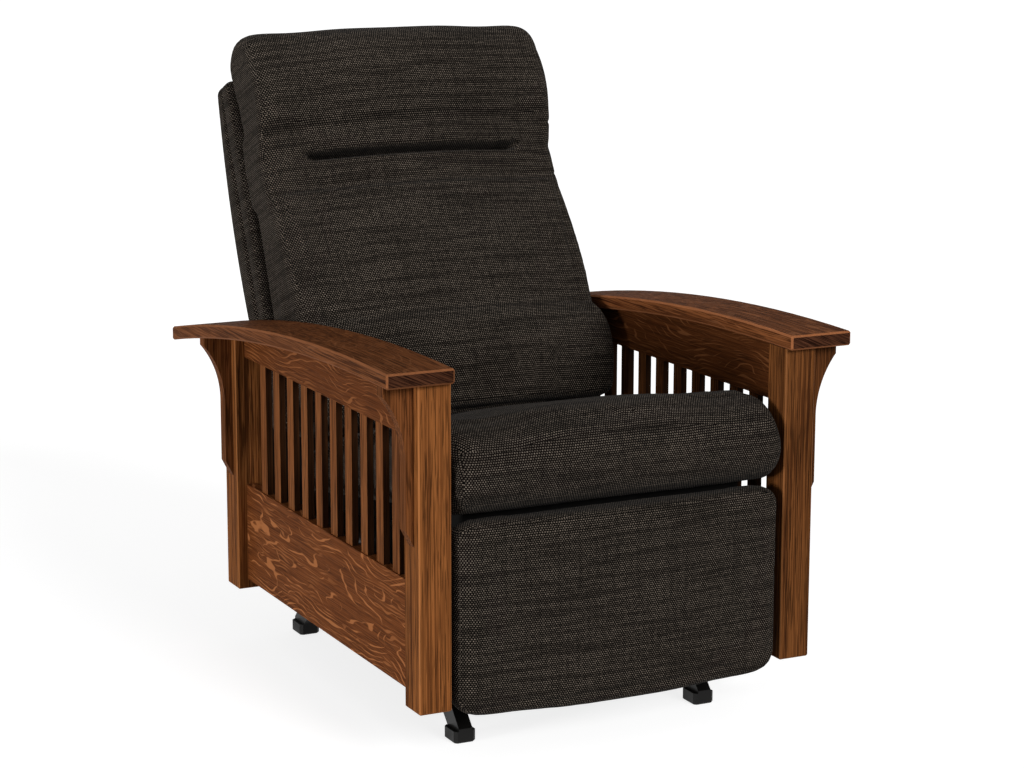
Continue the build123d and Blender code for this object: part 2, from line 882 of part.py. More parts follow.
def seat_pins():
    """Studs on each strap for the lift links and the leg rest's brace."""
    carrier = seat_plate_x + gauge
    front = stud(lift_high(True), carrier, lift_x, lift_pin_radius, lift_collar)
    rear = stud(lift_high(False), carrier, lift_x, lift_pin_radius, lift_collar)
    return [front, rear, stud((brace_y, brace_z), carrier, bracket_x, pin_radius, pin_collar)]


def back_pin():
    """Pivot of the back: a stud on the horn's inner face, with its head inside the bracket."""
    link_low = stile_outer - face_clear
    shank = rod(back_pivot, lift_pin_radius, link_low, seat_plate_x)
    return shank + rod(back_pivot, lift_collar, link_low - pin_head, link_low)


def soft_loft(section, half, draw):
    """Cushion lofted across the chair: rounded, drawn-in ends and a middle that rises to its crown."""
    shoulder = half - draw
    rows = [(half - share * draw, 1 - math.sqrt(1 - (1 - share) ** 2), 0) for share in shoulder_shares]
    rows += [(share * shoulder, 0, 1 - share**2) for share in crown_shares]
    rows += [(-x, pinch, crown) for x, pinch, crown in reversed(rows[:-1])]
    return loft([Plane.YZ.offset(x) * section(pinch, crown) for x, pinch, crown in rows])


def cushion_section(pinch, crown):
    """Side outline of the seat cushion: flat underside, round nose and a top that falls to the rear."""
    inset = pinch * cushion_pinch
    drop = (1 - crown) * cushion_crown + inset
    under = webbing_thick + face_clear
    rear = seat_rear_y - inset
    front = cushion_nose_y + inset
    chin = (front + cushion_chin, deck(front + cushion_chin) + under)
    heel = (rear, deck(rear) + under)
    rear_top = (rear - cushion_rear_round, cushion_rear_top - drop)
    rear_side = (rear, cushion_rear_top - drop - cushion_rear_round)
    front_top = (cushion_front_width, cushion_front_top - drop)
    face_top = (front, cushion_face_high - drop)
    face_low = (front, cushion_face_low)
    return closed(
        Line(chin, heel),
        Line(heel, rear_side),
        bow(rear_side, rear_top, cushion_rear_round / 4),
        bow(rear_top, front_top, cushion_top_bow),
        bow(front_top, face_top, cushion_nose_bow),
        Line(face_top, face_low),
        bow(face_low, chin, cushion_chin_bow),
    )


def add_seat():
    add_pair("seat_plate", seat_plate())
    add_pair("seat_rail", seat_side_rail())
    add("seat_rail_front", seat_end_rail(seat_front_y))
    add("seat_rail_rear", seat_end_rail(seat_rear_y - seat_rail_thick))
    add("seat_webbing", *[webbing(index) for index in range(webbing_count)])
    add_both("seat_pins", *seat_pins(), back_pin())
    add("seat_cushion", soft_loft(cushion_section, cushion_half, cushion_draw))


# Back: frame, outside panel, pillow and the brackets that carry it

def back_face(u_low, u_high, v_low, v_high):
    """Rectangle in the back's own plane, as an outline in (Y, Z)."""
    corners = ((u_low, v_low), (u_high, v_low), (u_high, v_high), (u_low, v_high))
    return make_face(Polyline(*[back_point(u, v) for u, v in corners], close=True))


def back_stile():
    face = back_face(stile_low_u, stile_high_u, -back_member, 0)
    return across(face, stile_outer - stile_width, stile_width)


def back_rail(u_low):
    half = stile_outer - stile_width
    return across(back_face(u_low, u_low + back_rail_width, -back_member, 0), -half, 2 * half)


def back_bracket():
    """Strap along the stile with a foot that turns rearward to the pivot."""
    knee_point = back_point(bracket_knee_u, -back_member / 2)
    face = bar(back_pivot, knee_point, bracket_width)
    face += bar(knee_point, back_point(bracket_high_u, -back_member / 2), bracket_width)
    face -= disc(back_pivot, lift_pin_radius + run_clear)
    return across(face, stile_outer, gauge)


def outside_back():
    """Upholstered panel behind the frame, flat in front and gently curved behind."""
    front = -back_member - face_clear
    face = closed(
        Line(back_point(outside_low_u, front), back_point(outside_high_u, front)),
        Line(back_point(outside_high_u, front), back_point(outside_high_u, -outside_top_thick)),
        ThreePointArc(
            back_point(outside_high_u, -outside_top_thick),
            back_point(outside_belly_u, -outside_belly),
            back_point(outside_low_u, -outside_low_thick),
        ),
        Line(back_point(outside_low_u, -outside_low_thick), back_point(outside_low_u, front)),
    )
    solid = across(face, -outside_half, 2 * outside_half)
    return fillet(solid.edges(), outside_round)


def pillow_section(pinch, crown):
    """Side outline of the back pillow: lumbar swell, waist, sewn crease and head roll."""
    inset = pinch * pillow_pinch
    drop = (1 - crown) * pillow_crown + inset
    rear_low = back_point(pillow_low_u + inset, face_clear)
    rear_high = back_point(pillow_high_u - pillow_top_drop - inset, face_clear)
    brow = back_point(pillow_brow_u - inset, pillow_brow - drop)
    lip_high = back_point(pillow_crease_u + pillow_crease_half, pillow_lip - drop)
    crease = back_point(pillow_crease_u, pillow_crease - drop)
    lip_low = back_point(pillow_crease_u - pillow_crease_half, pillow_lip - drop)
    lumbar = back_point(pillow_lumbar_u, pillow_lumbar - drop)
    chin = back_point(pillow_low_u + inset + pillow_chin_round, pillow_chin - drop)
    chin_low = back_point(pillow_low_u + inset, pillow_chin - drop - pillow_chin_round)
    return closed(
        Line(rear_low, rear_high),
        bow(rear_high, brow, pillow_top_bow),
        bow(brow, lip_high, pillow_roll_bow),
        Line(lip_high, crease),
        Line(crease, lip_low),
        bow(lip_low, lumbar, pillow_waist_bow),
        bow(lumbar, chin, pillow_lumbar_bow),
        bow(chin, chin_low, pillow_chin_round / 4),
        Line(chin_low, rear_low),
    )


def add_back():
    add_pair("back_stile", back_stile())
    add("back_rail_low", back_rail(lower_rail_u))
    add("back_rail_middle", back_rail(middle_rail_u))
    add("back_rail_top", back_rail(stile_high_u - back_rail_width))
    add_both("back_brackets", back_bracket())
    add("outside_back", outside_back())
    add("back_pillow", soft_loft(pillow_section, pillow_half, pillow_draw))


# Leg rest linkage, from the torque tube out to the board


def leg_arm():
    """Rear arm: pivots at the torque tube and carries the knee and the stay's foot."""
    face = bar((leg_y, leg_z), knee, link_width) + bar(knee, stay_low, link_width)
    face += make_face(Polyline((leg_y, leg_z), knee, stay_low, close=True))
    solid = across(face, leg_rear_x, gauge)
    outer = leg_rear_x + gauge
    solid += stud(knee, outer, leg_front_x, pin_radius, pin_collar)
    return solid + stud(stay_low, outer, stay_x, pin_radius, pin_collar)


def leg_strut():
    """Front arm: from the knee to the leg rest's bracket, with an ear for the brace."""
    face = bar(knee, ankle, link_width) + bar(knee, brace_end, link_width)
    face -= disc(knee, pin_radius + run_clear)
    solid = across(face, leg_front_x, gauge)
    outer = leg_front_x + gauge
    solid += stud(brace_end, outer, bracket_x, pin_radius, pin_collar)
    return solid + stud(ankle, outer, bracket_x, pin_radius, pin_collar)


def leg_brace():
    face = bar((brace_y, brace_z), brace_end, brace_width)
    face -= disc((brace_y, brace_z), pin_radius + run_clear)
    face -= disc(brace_end, pin_radius + open_clear)
    return across(face, bracket_x, gauge)


def ottoman_stay():
    face = bar(stay_low, stay_high, link_width)
    face -= disc(stay_low, pin_radius + run_clear)
    face -= disc(stay_high, pin_radius + stay_clear)
    return across(face, stay_x, gauge)


def ottoman_bracket():
    """Angle behind the board: a flange on the board and a plate with both pivots."""
    flange = block(
        bracket_x + gauge - bracket_flange,
        bracket_x + gauge,
        board_rear_y,
        board_rear_y + gauge,
        bracket_low_z,
        bracket_plate_high_z,
    )
    y_high = board_rear_y + bracket_plate_width
    web = block(bracket_x, bracket_x + gauge, board_rear_y, y_high, bracket_low_z, bracket_plate_high_z)
    web += across(bar(ankle, stay_high, link_width), bracket_x, gauge)
    web -= rod(ankle, pin_radius + run_clear, bracket_x, bracket_x + gauge)
    return flange + web + stud(stay_high, bracket_x + gauge, stay_x, pin_radius, pin_collar)


def ottoman_board():
    body = block(-board_half, board_half, board_rear_y - board_thick, board_rear_y, board_low_z, board_high_z)
    return fillet(body.edges().filter_by(Axis.Y), board_round)


def rest_section(pinch, crown):
    """Side outline of the leg rest's pad: flat behind, crowned in front, round at its edges."""
    rear = board_rear_y - board_thick - face_clear
    front = rest_face_y + pinch * rest_depth_pinch - crown * rest_crown
    low = rest_low_z + pinch * rest_low_round + (1 - pinch) * (1 - crown) * rest_bow
    high = rest_high_z - pinch * rest_high_round
    return closed(
        Line((rear, low), (rear, high)),
        Line((rear, high), (front + rest_edge, high)),
        bow((front + rest_edge, high), (front, high - rest_edge), rest_edge / 4),
        Line((front, high - rest_edge), (front, low + rest_edge)),
        bow((front, low + rest_edge), (front + rest_edge, low), rest_edge / 4),
        Line((front + rest_edge, low), (rear, low)),
    )


def add_leg_rest():
    tube = Cylinder(torque_radius, 2 * leg_rear_x, rotation=(0, 90, 0))
    add("torque_tube", Pos(0, leg_y, leg_z) * tube)
    add_both("leg_arms", leg_arm())
    add_both("leg_struts", leg_strut())
    add_both("leg_braces", leg_brace())
    add_both("ottoman_stays", ottoman_stay())
    add_both("ottoman_brackets", ottoman_bracket())
    add("ottoman_board", ottoman_board())
    add("ottoman_pad", soft_loft(rest_section, rest_half, rest_draw))


def chair_centre_y():
    boxes = [solid.bounding_box() for solids in parts.values() for solid in solids]
    return (min(box.min.Y for box in boxes) + max(box.max.Y for box in boxes)) / 2


add_side_frames()
add_base()
add_mounts()
add_seat()
add_back()
add_leg_rest()

centre_y = chair_centre_y()
os.makedirs("parts", exist_ok=True)
for name, solids in parts.items():
    placed = [Pos(0, -centre_y, 0) * solid for solid in solids]
    shape = placed[0] if len(placed) == 1 else Compound(placed)
    shape.label = name
    export_step(shape, "parts/" + name + ".step")
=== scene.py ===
import math

import bmesh
import bpy
import numpy as np
from mathutils import Matrix, Vector, bvhtree


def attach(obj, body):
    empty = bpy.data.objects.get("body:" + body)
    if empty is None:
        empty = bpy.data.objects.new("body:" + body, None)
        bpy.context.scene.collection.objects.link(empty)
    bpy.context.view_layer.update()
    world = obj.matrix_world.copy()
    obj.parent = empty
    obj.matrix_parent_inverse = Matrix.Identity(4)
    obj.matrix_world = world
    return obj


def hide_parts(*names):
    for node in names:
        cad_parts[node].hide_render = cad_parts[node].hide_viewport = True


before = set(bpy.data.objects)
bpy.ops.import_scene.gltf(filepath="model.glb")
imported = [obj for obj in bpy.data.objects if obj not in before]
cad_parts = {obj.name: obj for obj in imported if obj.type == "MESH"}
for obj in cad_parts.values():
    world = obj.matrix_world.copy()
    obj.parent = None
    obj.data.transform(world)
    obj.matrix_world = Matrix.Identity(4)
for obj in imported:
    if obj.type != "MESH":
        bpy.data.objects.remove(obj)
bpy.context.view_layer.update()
scene = bpy.context.scene

X, Y, Z = 0, 1, 2

# The chair's middle, the back's plane and the seat's slope, in metres
CENTRE_Y = 0.5058636
BACK_LEAN = math.radians(23.4)
BACK_FOOT = (0.688 - CENTRE_Y, 0.372)
DECK_FRONT_Z = 0.402
DECK_SLOPE = 0.158


# Colours and node helpers

def srgb(red, green, blue):
    """Linear colour of a value read as 0 to 255."""
    channels = []
    for value in (red, green, blue):
        share = value / 255
        channels.append(share / 12.92 if share <= 0.04045 else ((share + 0.055) / 1.055) ** 2.4)
    return (*channels, 1.0)


def new_material(name):
    material = bpy.data.materials.new(name)
    material.use_nodes = True
    tree = material.node_tree
    tree.nodes.clear()
    output = tree.nodes.new("ShaderNodeOutputMaterial")
    shader = tree.nodes.new("ShaderNodeBsdfPrincipled")
    tree.links.new(shader.outputs["BSDF"], output.inputs["Surface"])
    return material, tree, shader


def feed(tree, socket, value):
    """Joins a node's output to a socket, or sets the socket to a plain value."""
    if isinstance(value, bpy.types.NodeSocket):
        tree.links.new(value, socket)
    elif value is not None:
        socket.default_value = value


def math_node(tree, operation, first, second=None, third=None, clamp=False):
    node = tree.nodes.new("ShaderNodeMath")
    node.operation = operation
    node.use_clamp = clamp
    for socket, value in zip(node.inputs, (first, second, third)):
        feed(tree, socket, value)
    return node.outputs[0]


def ramp(tree, value, low, high, out_low=0.0, out_high=1.0):
    """Smooth step of a value between two limits."""
    node = tree.nodes.new("ShaderNodeMapRange")
    node.interpolation_type = "SMOOTHSTEP"
    feed(tree, node.inputs["Value"], value)
    for name, number in (("From Min", low), ("From Max", high), ("To Min", out_low), ("To Max", out_high)):
        node.inputs[name].default_value = number
    return node.outputs["Result"]


# Sockets of the colour mix: share, first colour, second colour and result
MIX_SHARE, MIX_FIRST, MIX_SECOND, MIX_RESULT = 0, 6, 7, 2


def mix_colour(tree, share, first, second):
    node = tree.nodes.new("ShaderNodeMix")
    node.data_type = "RGBA"
    feed(tree, node.inputs[MIX_SHARE], share)
    feed(tree, node.inputs[MIX_FIRST], first)
    feed(tree, node.inputs[MIX_SECOND], second)
    return node.outputs[MIX_RESULT]


def combine(tree, x, y, z=0.0):
    node = tree.nodes.new("ShaderNodeCombineXYZ")
    for socket, value in zip(node.inputs, (x, y, z)):
        feed(tree, socket, value)
    return node.outputs[0]


def scaled(tree, value, factor, shift=0.0):
    return math_node(tree, "MULTIPLY_ADD", value, factor, shift)


def total(tree, first, second):
    return math_node(tree, "ADD", first, second)


def product(tree, first, second):
    return math_node(tree, "MULTIPLY", first, second)


def noise(tree, vector, scale=1.0, detail=2.0, roughness=0.5):
    node = tree.nodes.new("ShaderNodeTexNoise")
    feed(tree, node.inputs["Vector"], vector)
    for name, number in (("Scale", scale), ("Detail", detail), ("Roughness", roughness)):
        node.inputs[name].default_value = number
    return node.outputs["Fac"]


def bump(tree, shader, height, depth, strength):
    node = tree.nodes.new("ShaderNodeBump")
    node.inputs["Strength"].default_value = strength
    node.inputs["Distance"].default_value = depth
    feed(tree, node.inputs["Height"], height)
    tree.links.new(node.outputs["Normal"], shader.inputs["Normal"])


def turned_coordinates(tree, lean):
    """Object coordinates and normal, turned about X so that a leaning panel stands upright: two (x, y, z)."""
    source = tree.nodes.new("ShaderNodeTexCoord")
    sets = []
    for name in ("Object", "Normal"):
        mapping = tree.nodes.new("ShaderNodeMapping")
        mapping.vector_type = "POINT"
        mapping.inputs["Rotation"].default_value = (lean, 0.0, 0.0)
        tree.links.new(source.outputs[name], mapping.inputs["Vector"])
        split = tree.nodes.new("ShaderNodeSeparateXYZ")
        tree.links.new(mapping.outputs["Vector"], split.inputs["Vector"])
        sets.append(tuple(split.outputs))
    return sets


# Tweed: a close lattice of coarse light yarns over near-black gaps, with soft darker rows

ROW = 0.0033
DASH = 0.0042
YARN_EDGE, YARN_TOP = 0.06, 0.42
YARN_DEPTH = 0.0006
DARK_YARN = srgb(84, 76, 68)
LIGHT_YARN = srgb(118, 107, 96)
GAP_COLOUR = srgb(4, 3, 2)
SLUB_COLOUR = srgb(13, 10, 8)
STRIPE_COLOUR = srgb(14, 11, 9)

# Noise per metre: the wobble of the rows, and slubs and stripes along and across their length
WOBBLE_RATE = 24.0
LONG_RATE = 5.0
SHORT_RATE = 120.0


def tweed(name, lean=0.0):
    material, tree, shader = new_material(name)
    place, normal = turned_coordinates(tree, lean)
    size = [math_node(tree, "ABSOLUTE", part) for part in normal]
    sideways = math_node(tree, "GREATER_THAN", size[X], math_node(tree, "MAXIMUM", size[Y], size[Z]))
    upward = math_node(tree, "GREATER_THAN", size[Z], math_node(tree, "MAXIMUM", size[X], size[Y]))

    def either(share, first, second):
        difference = math_node(tree, "SUBTRACT", second, first)
        return math_node(tree, "MULTIPLY_ADD", difference, share, first)

    weft = either(sideways, place[X], place[Y])
    warp = either(upward, place[Z], place[Y])

    def cloth_noise(weft_rate, warp_rate, **more):
        parts = (scaled(tree, weft, weft_rate), scaled(tree, warp, warp_rate))
        return noise(tree, combine(tree, *parts), **more)

    def profile(turns):
        return ramp(tree, math_node(tree, "PINGPONG", turns, 0.5), YARN_EDGE, YARN_TOP)

    wobble = cloth_noise(WOBBLE_RATE, WOBBLE_RATE, detail=1.0)
    warp_turns = math_node(tree, "MULTIPLY_ADD", wobble, 0.5, scaled(tree, warp, 1 / ROW))
    row = math_node(tree, "FLOOR", warp_turns)
    weft_turns = total(tree, scaled(tree, weft, 1 / DASH), scaled(tree, row, 0.5))
    column = math_node(tree, "FLOOR", weft_turns)
    yarn_height = product(tree, profile(warp_turns), profile(weft_turns))
    cell = tree.nodes.new("ShaderNodeTexWhiteNoise")
    cell.noise_dimensions = "2D"
    feed(tree, cell.inputs["Vector"], combine(tree, column, row))
    slub = cloth_noise(LONG_RATE, SHORT_RATE, detail=3.0, roughness=0.6)
    stripe = cloth_noise(SHORT_RATE, LONG_RATE, detail=2.0)

    yarn = mix_colour(tree, cell.outputs["Value"], DARK_YARN, LIGHT_YARN)
    ground = mix_colour(tree, ramp(tree, yarn_height, 0.16, 0.78), GAP_COLOUR, yarn)
    ground = mix_colour(tree, ramp(tree, slub, 0.44, 0.62, 0.0, 0.5), ground, SLUB_COLOUR)
    ground = mix_colour(tree, ramp(tree, stripe, 0.5, 0.7, 0.0, 0.25), ground, STRIPE_COLOUR)
    feed(tree, shader.inputs["Base Color"], ground)
    shader.inputs["Roughness"].default_value = 0.96
    shader.inputs["Specular IOR Level"].default_value = 0.03
    shader.inputs["Sheen Weight"].default_value = 0.02
    shader.inputs["Sheen Roughness"].default_value = 0.5
    bump(tree, shader, yarn_height, YARN_DEPTH, 0.6)
    return material


# Quarter-sawn oak under a brown stain: straight grain, pores, wavy ray flecks and dark end grain

# Noise per metre, across the grain and along it
FINE_GRAIN = (470.0, 5.0)
MEDIUM_GRAIN = (190.0, 1.8)
DRIFT_GRAIN = (22.0, 1.0)
PORES = (620.0, 16.0)
RAY_FIELD = (11.0, 4.4)
RAY_RIPPLE = (46.0, 13.0)
RAY_BREAKS = (46.0, 16.0)
RAY_PATCHES = (11.0, 4.0)

# Ray lines: how far the field and the ripple shift them, and the small ones' number per metre and shift
FIELD_SHIFT = 12.0
RIPPLE_SHIFT = 1.9
SMALL_RATE = 150.0
SMALL_SHIFT = 3.6

# Shares of the light wood's red, green and blue for the ray flecks and for the eased edges' wear and painted
# highlight, and the end grain's two colours
RAY_TINT = (1.5, 1.68, 2.0)
EDGE_WEAR_AND_HIGHLIGHT_TINT = (1.0, 1.06, 1.2)
END_DARK = srgb(34, 17, 10)
END_LIGHT = srgb(80, 48, 32)


def ray_flecks(tree, grain, height, level):
    """Share of ray colour: long wavy lines, with small ones in patches between them."""
    base, slope, curve = level
    lift = math_node(tree, "SUBTRACT", height, base)
    turns = total(tree, product(tree, lift, slope), product(tree, product(tree, lift, lift), curve))
    ripple = grain(RAY_RIPPLE, detail=1.0)
    turns = total(tree, turns, product(tree, grain(RAY_FIELD, detail=1.0, roughness=0.4), FIELD_SHIFT))
    turns = total(tree, turns, product(tree, ripple, RIPPLE_SHIFT))
    breaks = grain(RAY_BREAKS, detail=1.0)
    ridge = total(tree, math_node(tree, "PINGPONG", turns, 0.5), scaled(tree, breaks, 0.62, -0.315))
    long_rays = ramp(tree, ridge, 0.42, 0.50)
    small_turns = total(tree, product(tree, lift, SMALL_RATE), scaled(tree, ripple, SMALL_SHIFT))
    small = total(tree, math_node(tree, "PINGPONG", small_turns, 0.5), scaled(tree, breaks, -1.0, 0.47))
    patch = ramp(tree, grain(RAY_PATCHES, detail=1.0), 0.48, 0.58)
    small_rays = product(tree, ramp(tree, small, 0.40, 0.50, 0.0, 0.6), patch)
    return math_node(tree, "MAXIMUM", long_rays, small_rays)


def oak(name, along, light, dark, seed, fleck=0.0, level=None, streak=1.0, wear=1.2, shaded=None):
    """along is the grain's axis. level is the height, slope and bend that steer the ray lines."""
    material, tree, shader = new_material(name)
    place, normal = turned_coordinates(tree, 0.0)
    size = [math_node(tree, "ABSOLUTE", part) for part in normal]
    far = place[along]
    wide = [place[index] for index in (X, Y, Z) if index != along]
    first = scaled(tree, wide[0], 1.0, seed)
    second = wide[1]

    def tone(colour, factor):
        return srgb(*[factor * value for value in colour])

    def tinted(tint, factor=1.0):
        return srgb(*[part * factor * value for part, value in zip(tint, light)])

    def grain(rates, **more):
        cross, length = rates
        parts = (scaled(tree, first, cross), scaled(tree, second, cross), scaled(tree, far, length))
        return noise(tree, combine(tree, *parts), **more)

    fine = grain(FINE_GRAIN, detail=2.0, roughness=0.6)
    medium = grain(MEDIUM_GRAIN, detail=2.0)
    drift = grain(DRIFT_GRAIN, detail=2.0)
    pore = grain(PORES, detail=1.0)

    colour = mix_colour(tree, ramp(tree, fine, 0.42, 0.58), tone(dark, 1.0), tone(light, 1.0))
    colour = mix_colour(tree, ramp(tree, medium, 0.50, 0.60, 0.0, 0.3 * streak), colour, tone(dark, 0.68))
    colour = mix_colour(tree, ramp(tree, drift, 0.38, 0.62, 0.0, 0.35), colour, tone(light, 1.06))
    dash = ramp(tree, pore, 0.54, 0.62, 0.0, 0.35 + 0.3 * streak)
    colour = mix_colour(tree, dash, colour, tone(dark, 0.45))

    if fleck:
        rays = scaled(tree, ray_flecks(tree, grain, place[Z], level), fleck)
        colour = mix_colour(tree, rays, colour, tinted(RAY_TINT))
    # Painted shade: faces turned along this axis, the slats' sides between their neighbours, are darkened as
    # if in shade
    if shaded is not None:
        colour = mix_colour(tree, ramp(tree, size[shaded], 0.8, 0.95, 0.0, 0.9), colour, tone(dark, 0.36))
    # Eased edges, found by their slanted normals, are lightened and tinted blue-white: partly wear, partly a
    # painted highlight
    most = math_node(tree, "MAXIMUM", size[X], math_node(tree, "MAXIMUM", size[Y], size[Z]))
    edge_wear_and_highlight = ramp(tree, most, 0.84, 0.75, 0.0, 0.6)
    colour = mix_colour(tree, edge_wear_and_highlight, colour, tinted(EDGE_WEAR_AND_HIGHLIGHT_TINT, wear))
    slant = total(tree, scaled(tree, first, 190.0), scaled(tree, second, 420.0))
    ring = noise(tree, combine(tree, slant, 0.0, scaled(tree, first, 14.0)), detail=3.0, roughness=0.7)
    end_colour = mix_colour(tree, ramp(tree, ring, 0.42, 0.58), END_DARK, END_LIGHT)
    colour = mix_colour(tree, ramp(tree, size[along], 0.88, 0.95), colour, end_colour)

    feed(tree, shader.inputs["Base Color"], colour)
    feed(tree, shader.inputs["Roughness"], ramp(tree, fine, 0.2, 0.8, 0.6, 0.48))
    shader.inputs["Specular IOR Level"].default_value = 0.012
    bump(tree, shader, math_node(tree, "SUBTRACT", fine, scaled(tree, dash, 1.2)), 0.00025, 0.5)
    return material


# Hidden wood, painted and bright metal, and webbing

def plain_wood(name, along):
    """Unstained wood of the cleats inside the side frames."""
    material, tree, shader = new_material(name)
    place, _ = turned_coordinates(tree, 0.0)
    parts = [scaled(tree, place[index], 5.0 if index == along else 190.0) for index in (X, Y, Z)]
    grain = noise(tree, combine(tree, *parts), detail=4.0, roughness=0.6)
    cloud = noise(tree, combine(tree, *place), scale=7.0)
    colour = mix_colour(tree, ramp(tree, grain, 0.3, 0.7), srgb(176, 138, 92), srgb(208, 174, 128))
    colour = mix_colour(tree, ramp(tree, cloud, 0.4, 0.7, 0.0, 0.3), colour, srgb(160, 120, 78))
    feed(tree, shader.inputs["Base Color"], colour)
    shader.inputs["Roughness"].default_value = 0.68
    bump(tree, shader, grain, 0.0002, 0.5)
    return material


def painted_steel(name, colour, roughness, wear, metal=0.0):
    material, tree, shader = new_material(name)
    place, _ = turned_coordinates(tree, 0.0)
    vector = combine(tree, *place)
    skin = noise(tree, vector, scale=900.0, detail=2.0)
    cloud = noise(tree, vector, scale=24.0, detail=3.0)
    paint = mix_colour(tree, ramp(tree, cloud, 0.4, 0.75, 0.0, 0.4), srgb(*colour), srgb(*wear))
    feed(tree, shader.inputs["Base Color"], paint)
    feed(tree, shader.inputs["Roughness"], ramp(tree, cloud, 0.3, 0.7, roughness, roughness + 0.14))
    shader.inputs["Metallic"].default_value = metal
    shader.inputs["Specular IOR Level"].default_value = 0.5 if metal else 0.16
    bump(tree, shader, skin, 0.00012, 0.4)
    return material


def strap_material(name):
    """Woven elastic webbing with ribs across it."""
    material, tree, shader = new_material(name)
    place, _ = turned_coordinates(tree, 0.0)
    ribs = math_node(tree, "PINGPONG", scaled(tree, place[X], 520.0), 0.5)
    rows = math_node(tree, "PINGPONG", scaled(tree, place[Y], 330.0), 0.5)
    height = product(tree, ramp(tree, ribs, 0.0, 0.4), ramp(tree, rows, 0.0, 0.4))
    colour = mix_colour(tree, height, srgb(34, 30, 26), srgb(96, 84, 68))
    feed(tree, shader.inputs["Base Color"], colour)
    shader.inputs["Roughness"].default_value = 0.9
    bump(tree, shader, height, 0.0004, 0.7)
    return material


# Painted light of the two side frames: the right frame's oak darkened as painted shade and its arm lightened
# as painted light, and the height, slope and bend of their ray lines
SIDE_PAINTED_SHADE = {"left": 1.0, "right": 0.83}
ARM_PAINTED_LIGHT = {"left": 1.0, "right": 1.14}
RAIL_LINES = (0.2025, 0.0, 600.0)
TOP_RAIL_LINES = (0.6, 130.0, 0.0)


def side_oak(name, along, light, dark, painted_light_by_side=SIDE_PAINTED_SHADE, **more):
    """One oak for both side frames, with each side's colours scaled by its share of painted light and shade.
    """
    woods = {}
    for side, share in painted_light_by_side.items():
        tones = [[share * part for part in colour] for colour in (light, dark)]
        woods[side] = oak(name + "_" + side, along, *tones, **more)
    return woods


# The share that lightens each oak's eased edges gives both wear and a painted highlight
post_oak = side_oak("oak_posts", Z, (142, 87, 45), (84, 46, 22), seed=0.7)
# The slats' sides facing along Y get painted shade
slat_oak = side_oak("oak_slats", Z, (134, 82, 45), (84, 46, 23), seed=2.1, shaded=Y)
corbel_oak = side_oak("oak_corbels", Z, (122, 73, 39), (74, 40, 19), seed=3.4, wear=1.1)
rail_oak = side_oak("oak_rails", Y, (110, 62, 31), (88, 47, 22), seed=5.2,
                    fleck=0.85, level=RAIL_LINES, streak=0.4)
top_oak = side_oak("oak_top_rails", Y, (102, 57, 28), (80, 42, 19), seed=1.6,
                   fleck=0.6, level=TOP_RAIL_LINES, streak=0.4)
arm_oak = side_oak("oak_arms", Y, (112, 67, 38), (66, 35, 18), painted_light_by_side=ARM_PAINTED_LIGHT, seed=7.9,
                   fleck=0.14, level=TOP_RAIL_LINES, wear=1.3)
cross_oak = oak("oak_cross", X, (112, 65, 33), (80, 43, 20), seed=9.3)
frame_wood_long = plain_wood("frame_wood_long", Y)
black_steel = painted_steel("black_enamel", (15, 14, 13), 0.3, wear=(24, 22, 20))
bright_steel = painted_steel("zinc_steel", (168, 170, 172), 0.32, metal=1.0, wear=(140, 142, 146))
spring_steel = painted_steel("oiled_spring_steel", (92, 90, 88), 0.36, metal=1.0, wear=(66, 62, 58))
glide_plastic = painted_steel("glide_plastic", (16, 15, 14), 0.42, wear=(22, 21, 20))
webbing_material = strap_material("elastic_webbing")
lining = painted_steel("black_lining_cloth", (12, 11, 10), 0.9, wear=(16, 15, 13))
tweed_upright = tweed("tweed_upright")
tweed_back = tweed("tweed_back", BACK_LEAN)

FINISHES = {
    "post_": post_oak,
    "slats_": slat_oak,
    "corbel_": corbel_oak,
    "rail_bottom_": rail_oak,
    "rail_top_": top_oak,
    "arm_": arm_oak,
    "stretcher_rear": cross_oak,
    "mount_cleats": frame_wood_long,
    "mount_plates": black_steel,
    "frame_bolts": bright_steel,
    "cross_tube_": black_steel,
    "rocker_cams": black_steel,
    "lift_": black_steel,
    "base_": black_steel,
    "glide_pads": glide_plastic,
    "rocker_springs_": spring_steel,
    "seat_plate_": black_steel,
    "seat_rail_": lining,
    "seat_webbing": webbing_material,
    "seat_pins": bright_steel,
    "back_stile_": lining,
    "back_rail_": lining,
    "back_brackets": black_steel,
    "torque_tube": black_steel,
    "leg_": black_steel,
    "ottoman_stays": black_steel,
    "ottoman_brackets": black_steel,
    "ottoman_board": lining,
}
for node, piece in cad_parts.items():
    for start, material in FINISHES.items():
        if node.startswith(start):
            if isinstance(material, dict):
                material = material[node.rsplit("_", 1)[1]]
            for slot in piece.material_slots:
                slot.material = material


# Padded pieces: each starts from the frame's form, is filled by a cloth pressure run, then sewn and finished

def coordinates(mesh):
    points = np.empty(len(mesh.vertices) * 3)
    mesh.vertices.foreach_get("co", points)
    return points.reshape(-1, 3)


def place_points(mesh, points):
    mesh.vertices.foreach_set("co", points.ravel())
    mesh.update()


def evaluated_mesh(piece):
    """The piece's mesh with its modifiers worked out."""
    return bpy.data.meshes.new_from_object(piece.evaluated_get(bpy.context.evaluated_depsgraph_get()))


# Columns of the back's own coordinates, beside X
UP, OUT = 1, 2


def to_back(points):
    """Chair coordinates to the back's own: across, up its plane, and out of its front."""
    y = points[:, Y] - BACK_FOOT[0]
    z = points[:, Z] - BACK_FOOT[1]
    up = y * math.sin(BACK_LEAN) + z * math.cos(BACK_LEAN)
    out = -y * math.cos(BACK_LEAN) + z * math.sin(BACK_LEAN)
    return np.column_stack((points[:, X], up, out))


